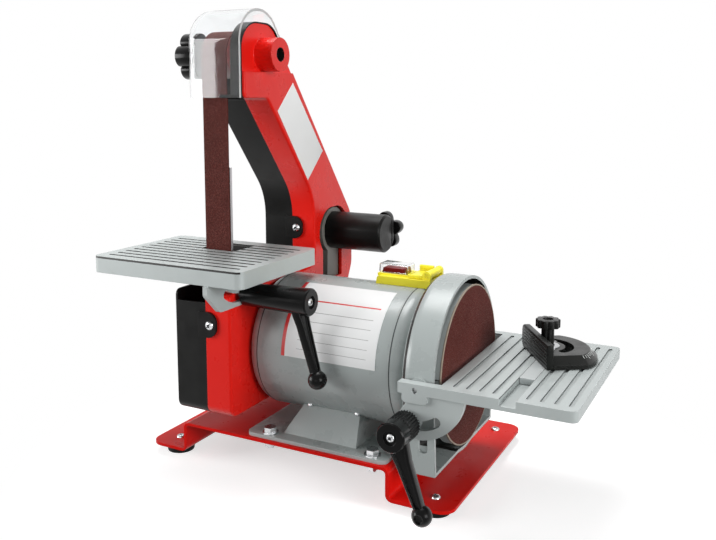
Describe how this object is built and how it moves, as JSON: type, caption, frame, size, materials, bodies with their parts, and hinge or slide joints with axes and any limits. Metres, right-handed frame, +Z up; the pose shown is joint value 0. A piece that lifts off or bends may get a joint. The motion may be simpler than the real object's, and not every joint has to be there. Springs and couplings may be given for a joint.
{
  "type": "belt and disc sander",
  "caption": "Bench sander with a narrow upright sanding belt and its tilting table on one side of a motor, and an abrasive disc with a tilting mitre table on the other.",
  "frame": {"origin": "on the ground under the middle of the bounding box", "axes": "+Z up, +X along the motor axis towards the disc, +Y to the back"},
  "size_m": [0.388, 0.2472, 0.3825],
  "materials": {
    "red_paint": "glossy red powder coat",
    "grey_paint": "satin grey paint",
    "cast_aluminium": "cast, satin",
    "black_plastic": "fine grain, satin",
    "rubber": "matte",
    "steel": "machined",
    "bright_screws": "zinc plated, bright",
    "abrasive": "coarse red-brown grit",
    "clear_plastic": "clear, polished",
    "yellow_plastic": "moulded",
    "red_plastic": "moulded",
    "core_iron": "laminated",
    "copper": "enamelled wire"
  },
  "bodies": {
    "machine": {"base_plate": "red_paint", "rubber_feet": "rubber", "foot_screws": "bright_screws", "motor_foot": "grey_paint", "motor_foot_bolts": "bright_screws", "motor_foot_nuts": "bright_screws", "motor_shell": "grey_paint", "motor_end_bells": "grey_paint", "motor_face_screws": "bright_screws", "stator_core": "core_iron", "stator_windings": "copper", "motor_bearings": "steel", "disc_guard": "grey_paint", "switch_box": "yellow_plastic", "cable_gland": "black_plastic", "belt_frame": "red_paint", "belt_cover": "black_plastic", "cover_screws": "bright_screws", "clear_shield": "clear_plastic", "head_edging": "black_plastic", "sanding_belt": "abrasive", "upper_axle": "steel", "tension_pivot_pin": "steel", "tension_spring": "steel", "platen": "steel", "platen_screws": "bright_screws", "belt_table_bolts": "steel", "disc_table_pins": "steel", "disc_table_bolt": "steel"},
    "spindle": {"motor_shaft": "steel", "rotor_core": "core_iron", "cooling_fan": "black_plastic", "drive_wheel": "cast_aluminium", "drive_wheel_nut": "steel", "disc_plate": "cast_aluminium", "disc_set_screw": "steel", "abrasive_disc": "abrasive"},
    "upper_wheel": {"upper_wheel": "cast_aluminium", "upper_wheel_bearings": "steel"},
    "tension_arm": {"tension_arm": "cast_aluminium", "rear_axle": "steel", "tension_handle": "black_plastic"},
    "rear_wheel": {"rear_wheel": "cast_aluminium", "rear_wheel_bearings": "steel"},
    "tracking_knob": {"tracking_knob": "black_plastic"},
    "shield_knob": {"shield_knob": "black_plastic"},
    "belt_table": {"belt_table": "cast_aluminium"},
    "belt_table_lever": {"belt_table_lever": "black_plastic", "belt_table_lever_screw": "bright_screws"},
    "disc_table": {"disc_table": "cast_aluminium"},
    "disc_table_lever": {"disc_table_lever": "black_plastic", "disc_table_lever_screw": "bright_screws"},
    "mitre_bar": {"mitre_bar": "steel", "mitre_studs": "steel"},
    "mitre_head": {"mitre_head": "black_plastic"},
    "mitre_knob": {"mitre_knob": "black_plastic"},
    "switch_rocker": {"switch_rocker": "red_plastic"},
    "switch_flap": {"switch_flap": "yellow_plastic"}
  },
  "joints": [
    {"name": "spindle_spin", "type": "hinge", "parent": "machine", "child": "spindle", "pos_m": [0.093, -0.0116, 0.1025], "axis": [1, 0, 0], "continuous": true},
    {"name": "upper_wheel_spin", "type": "hinge", "parent": "machine", "child": "upper_wheel", "pos_m": [-0.1315, -0.0326, 0.3455], "axis": [1, 0, 0], "continuous": true},
    {"name": "tension_swing", "type": "hinge", "parent": "machine", "child": "tension_arm", "pos_m": [-0.0904, 0.0834, 0.1145], "axis": [1, 0, 0], "range_deg": [0, 7], "stiffness_Nm_per_rad": 12, "springref_deg": -8.59},
    {"name": "rear_wheel_spin", "type": "hinge", "parent": "tension_arm", "child": "rear_wheel", "pos_m": [-0.1315, 0.0859, 0.1825], "axis": [1, 0, 0], "continuous": true},
    {"name": "tracking_turn", "type": "hinge", "parent": "tension_arm", "child": "tracking_knob", "pos_m": [-0.038, 0.1009, 0.1825], "axis": [0, 1, 0], "continuous": true},
    {"name": "shield_knob_turn", "type": "hinge", "parent": "machine", "child": "shield_knob", "pos_m": [-0.136, -0.0326, 0.3455], "axis": [1, 0, 0], "continuous": true},
    {"name": "belt_table_tilt", "type": "hinge", "parent": "machine", "child": "belt_table", "pos_m": [-0.0806, -0.0826, 0.1825], "axis": [1, 0, 0], "range_deg": [0, 45]},
    {"name": "belt_lever_swing", "type": "hinge", "parent": "machine", "child": "belt_table_lever", "pos_m": [-0.0762, -0.07483, 0.15352], "axis": [1, 0, 0], "range_deg": [-100, 0]},
    {"name": "disc_table_tilt", "type": "hinge", "parent": "machine", "child": "disc_table", "pos_m": [0.079, -0.0116, 0.1035], "axis": [0, 1, 0], "range_deg": [0, 45]},
    {"name": "disc_lever_swing", "type": "hinge", "parent": "machine", "child": "disc_table_lever", "pos_m": [0.073, -0.088, 0.0775], "axis": [0, 1, 0], "range_deg": [-75, 45]},
    {"name": "mitre_slide", "type": "slide", "parent": "disc_table", "child": "mitre_bar", "axis": [0, 1, 0], "range_m": [-0.06, 0.04]},
    {"name": "mitre_swing", "type": "hinge", "parent": "mitre_bar", "child": "mitre_head", "pos_m": [0.147, 0.0144, 0.1089], "axis": [0, 0, 1], "range_deg": [-3, 117]},
    {"name": "mitre_knob_turn", "type": "hinge", "parent": "mitre_bar", "child": "mitre_knob", "pos_m": [0.147, 0.0144, 0.1179], "axis": [0, 0, 1], "continuous": true},
    {"name": "rocker_press", "type": "hinge", "parent": "machine", "child": "switch_rocker", "pos_m": [0.0235, 0.0004, 0.164], "axis": [0, 1, 0], "range_deg": [0, 12]},
    {"name": "flap_lift", "type": "hinge", "parent": "machine", "child": "switch_flap", "pos_m": [0.055, -0.0136, 0.169], "axis": [0, 1, 0], "range_deg": [0, 95]}
  ],
  "couplings": [
    {"joint": "upper_wheel_spin", "follows": "spindle_spin", "ratio": 2.0606},
    {"joint": "rear_wheel_spin", "follows": "spindle_spin", "ratio": 1.4676}
  ]
}
